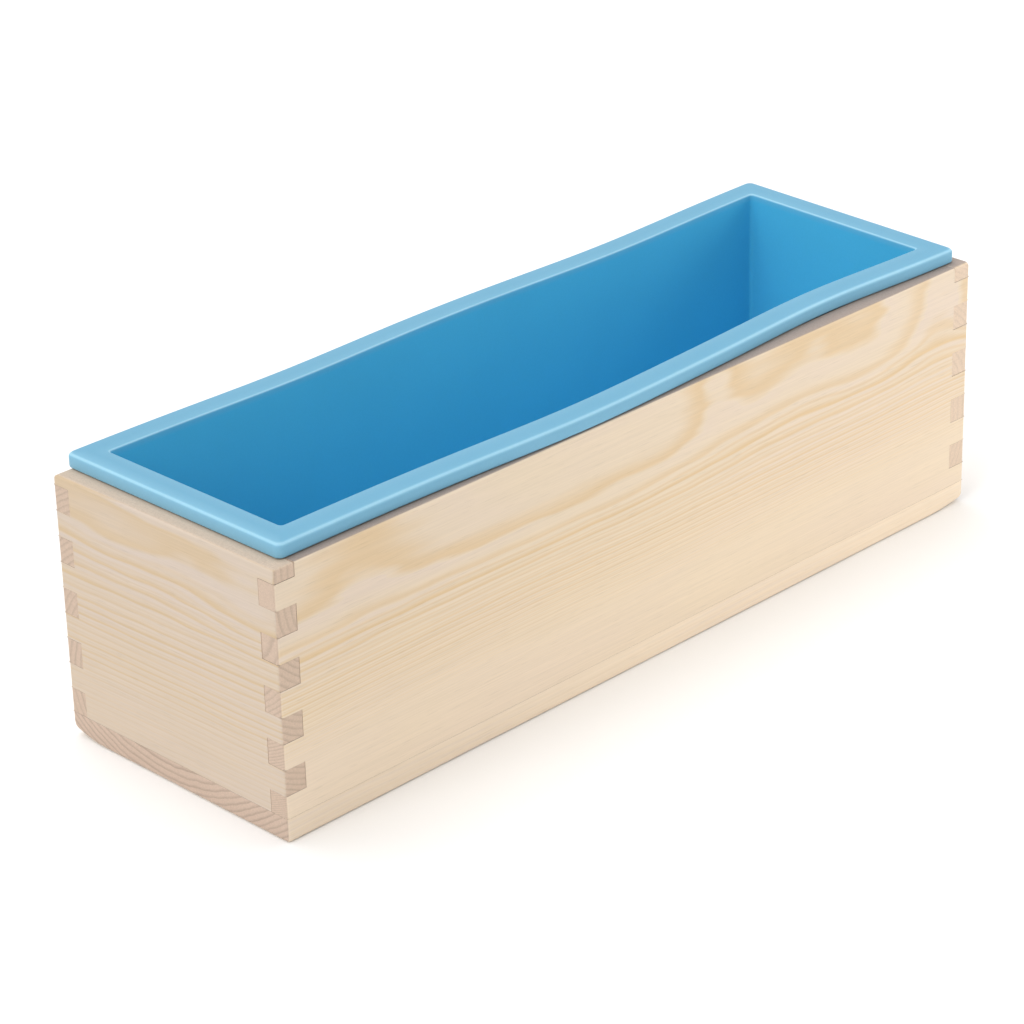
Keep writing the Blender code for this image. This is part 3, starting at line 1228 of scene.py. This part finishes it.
# The end board's tones are darker: partly its own tone, partly painted shade, as this end face gets
# less light than the front.
LEFT_PINE = PineFinish(
    "left_pine", GrainWay.CROSSWAYS, pith_depth=-0.1100, pith_height=0.0750, lean=1.0, yaw=0.0,
    seed=9.1, core=-60.0, ring_rate=0.0026, wander=5.0, fade_from=46.0, fade_to=84.0, faded=0.15,
    false_ring=0.30,
    cream=(0.615, 0.508, 0.402), honey=(0.586, 0.432, 0.256), blush=(0.607, 0.510, 0.445),
    end_tone=(0.600, 0.458, 0.352), top_shade_tone=(0.575, 0.462, 0.362),
    swells=(
        Swell(-38.0, -16.0, 22.0, 8.0, -1.1),
        Swell(22.0, -9.0, 22.0, 7.0, -0.45),
        Swell(0.0, 5.0, 25.0, 3.5, 0.55),
    ),
)
RIGHT_PINE = PineFinish(
    "right_pine", GrainWay.CROSSWAYS, pith_depth=0.1100, pith_height=0.0300, lean=-1.0, yaw=0.0,
    seed=14.9, core=-40.0, ring_rate=0.0033, wander=8.0, fade_from=50.0, fade_to=80.0, faded=0.3,
    end_tone=(0.735, 0.575, 0.440), end_lines=0.10,
)
BASE_PINE = PineFinish(
    "base_pine", GrainWay.LENGTHWAYS, pith_depth=0.0040, pith_height=0.0620, lean=0.0, yaw=0.2,
    seed=31.0, core=0.0, ring_rate=0.0040, wander=5.0, fade_from=30.0, fade_to=60.0, faded=0.15,
    dulled=0.12, end_lines=0.33,
    cream=(0.915, 0.760, 0.582), end_tone=(0.570, 0.436, 0.346),
)
SILICONE = SiliconeFinish()


# ---- Studio ----


def hang_light(lamp: bpy.types.Light, place: Vector, facing: Vector) -> None:
    """Puts a light in the scene.

    Args:
        lamp: The light.
        place: Where it hangs.
        facing: The direction from what it lights towards it.
    """
    holder = bpy.data.objects.new(lamp.name, lamp)
    holder.location = place
    holder.rotation_euler = facing.to_track_quat("Z", "Y").to_euler()
    bpy.context.scene.collection.objects.link(holder)


@dataclass(frozen=True)
class FarLight:
    """A wide light so far off that it is as strong all over the floor.

    It shines from a direction and fills an angle, in degrees.
    """

    name: str
    direction: tuple
    spread: float
    strength: float

    def hang(self) -> None:
        """Puts it in the scene."""
        lamp = bpy.data.lights.new(self.name, "SUN")
        lamp.angle = math.radians(self.spread)
        lamp.energy = self.strength
        hang_light(lamp, Vector((0.0, 0.0, 0.0)), Vector(self.direction))


@dataclass(frozen=True)
class Softbox:
    """A large square light: its place, the point that it faces, its side in metres and watts."""

    name: str
    place: tuple
    aim: tuple
    size: float
    power: float

    def hang(self) -> None:
        """Puts it in the scene."""
        lamp = bpy.data.lights.new(self.name, "AREA")
        lamp.size = self.size
        lamp.energy = self.power
        place = Vector(self.place)
        hang_light(lamp, place, place - Vector(self.aim))


@dataclass
class Studio:
    """A plain pale floor, soft light from all round, and the camera.

    The camera's angles are in degrees, its lens is in millimetres and its distances in metres.
    """

    azimuth: float = -44.6175
    elevation: float = 25.4704
    roll: float = -1.5208
    distance: float = 1.0333
    aside: float = -0.0084
    above: float = -0.0071
    lens: float = 126.35
    floor_radius: float = 6.0
    floor_drop: float = 0.2 * MM
    sky: float = 0.62
    backdrop: float = 1.0
    lights: tuple = (
        FarLight("overhead_light", (0.0, 0.5, 1.4), 50.0, 1.3),
        Softbox("softbox_front", (0.78, -0.56, 0.30), (0.09, 0.0, 0.04), 0.6, 2.5),
        FarLight("left_light", (-1.1, -0.1, 0.85), 35.0, 1.04),
    )

    def add_floor(self) -> None:
        """A round pale floor just under the box, slightly uneven in tone.

        Its points are radius * (cos a, sin a), ring by ring, at one height.
        """
        angles = np.linspace(0.0, 2.0 * math.pi, 96, endpoint=False)
        radii = np.array((self.floor_radius, 3.0, 1.2, 0.4))[:, None]
        height = np.full((len(radii), len(angles)), -self.floor_drop)
        rings = np.stack((radii * np.cos(angles), radii * np.sin(angles), height), axis=-1)
        points, faces = skin_of_rings(rings)
        shading = {"Specular IOR Level": 0.2, "Roughness": 0.8}
        finish, sheet, shader = new_finish("pale_floor", shading)
        where = sheet.put("ShaderNodeTexCoord", {})
        cloud = sheet.noise(where.outputs["Object"], 3.0, 2.0, 1.0).outputs[0]
        tone = sheet.blend(cloud, (0.93, 0.93, 0.93, 1.0), (0.95, 0.95, 0.945, 1.0))
        finish.node_tree.links.new(tone, shader.inputs["Base Color"])
        floor = make_piece("studio_floor", points, faces[:-2] + [faces[-1]], finish)

    def add_sky(self) -> None:
        """An even surround that lights softly, and is as pale as the floor where it is seen."""
        world = bpy.data.worlds.new("soft_surround")
        world.use_nodes = True
        sheet = Sheet(world.node_tree)
        seen = sheet.put("ShaderNodeLightPath", {}).outputs["Is Camera Ray"]
        strength = sheet.times(seen, self.backdrop - self.sky, self.sky)
        ground = world.node_tree.nodes["Background"]
        ground.inputs["Color"].default_value = (1.0, 1.0, 1.0, 1.0)
        world.node_tree.links.new(strength, ground.inputs["Strength"])
        bpy.context.scene.world = world

    def add_camera(self) -> None:
        """The camera, aimed by azimuth and elevation and turned by its roll."""
        a, e, r = (math.radians(angle) for angle in (self.azimuth, self.elevation, self.roll))
        back = Vector((math.sin(a) * math.cos(e), -math.cos(a) * math.cos(e), math.sin(e)))
        level = Vector((math.cos(a), math.sin(a), 0.0))
        upward = back.cross(level)
        right = math.cos(r) * level + math.sin(r) * upward
        up = -math.sin(r) * level + math.cos(r) * upward
        middle = Vector((0.0, 0.0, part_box("side_front")[1][2] / 2))
        place = middle + right * self.aside + up * self.above + back * self.distance
        data = bpy.data.cameras.new("camera")
        data.lens = self.lens
        data.sensor_width = 36.0
        data.clip_start = 0.05
        data.clip_end = 40.0
        camera = bpy.data.objects.new("camera", data)
        turn = Matrix((right, up, back)).transposed().to_4x4()
        camera.matrix_world = Matrix.Translation(place) @ turn
        bpy.context.scene.collection.objects.link(camera)
        bpy.context.scene.camera = camera

    def build(self) -> None:
        """Sets up the studio."""
        self.add_floor()
        self.add_sky()
        for light in self.lights:
            light.hang()
        self.add_camera()
        settings = bpy.context.scene.view_settings
        settings.view_transform = "Standard"
        settings.look = "None"
        LOG.info("studio ready")


def main() -> None:
    """Builds the box, the liner and the studio, in that order."""
    logging.basicConfig(level=logging.INFO, format="%(name)s: %(message)s")
    groups = {tree.name: tree for tree in (swell_group(), pine_group(), silicone_group())}
    PineBox().build(groups)
    SiliconeLiner().build(groups)
    Studio().build()


if __name__ == "__main__":
    main()
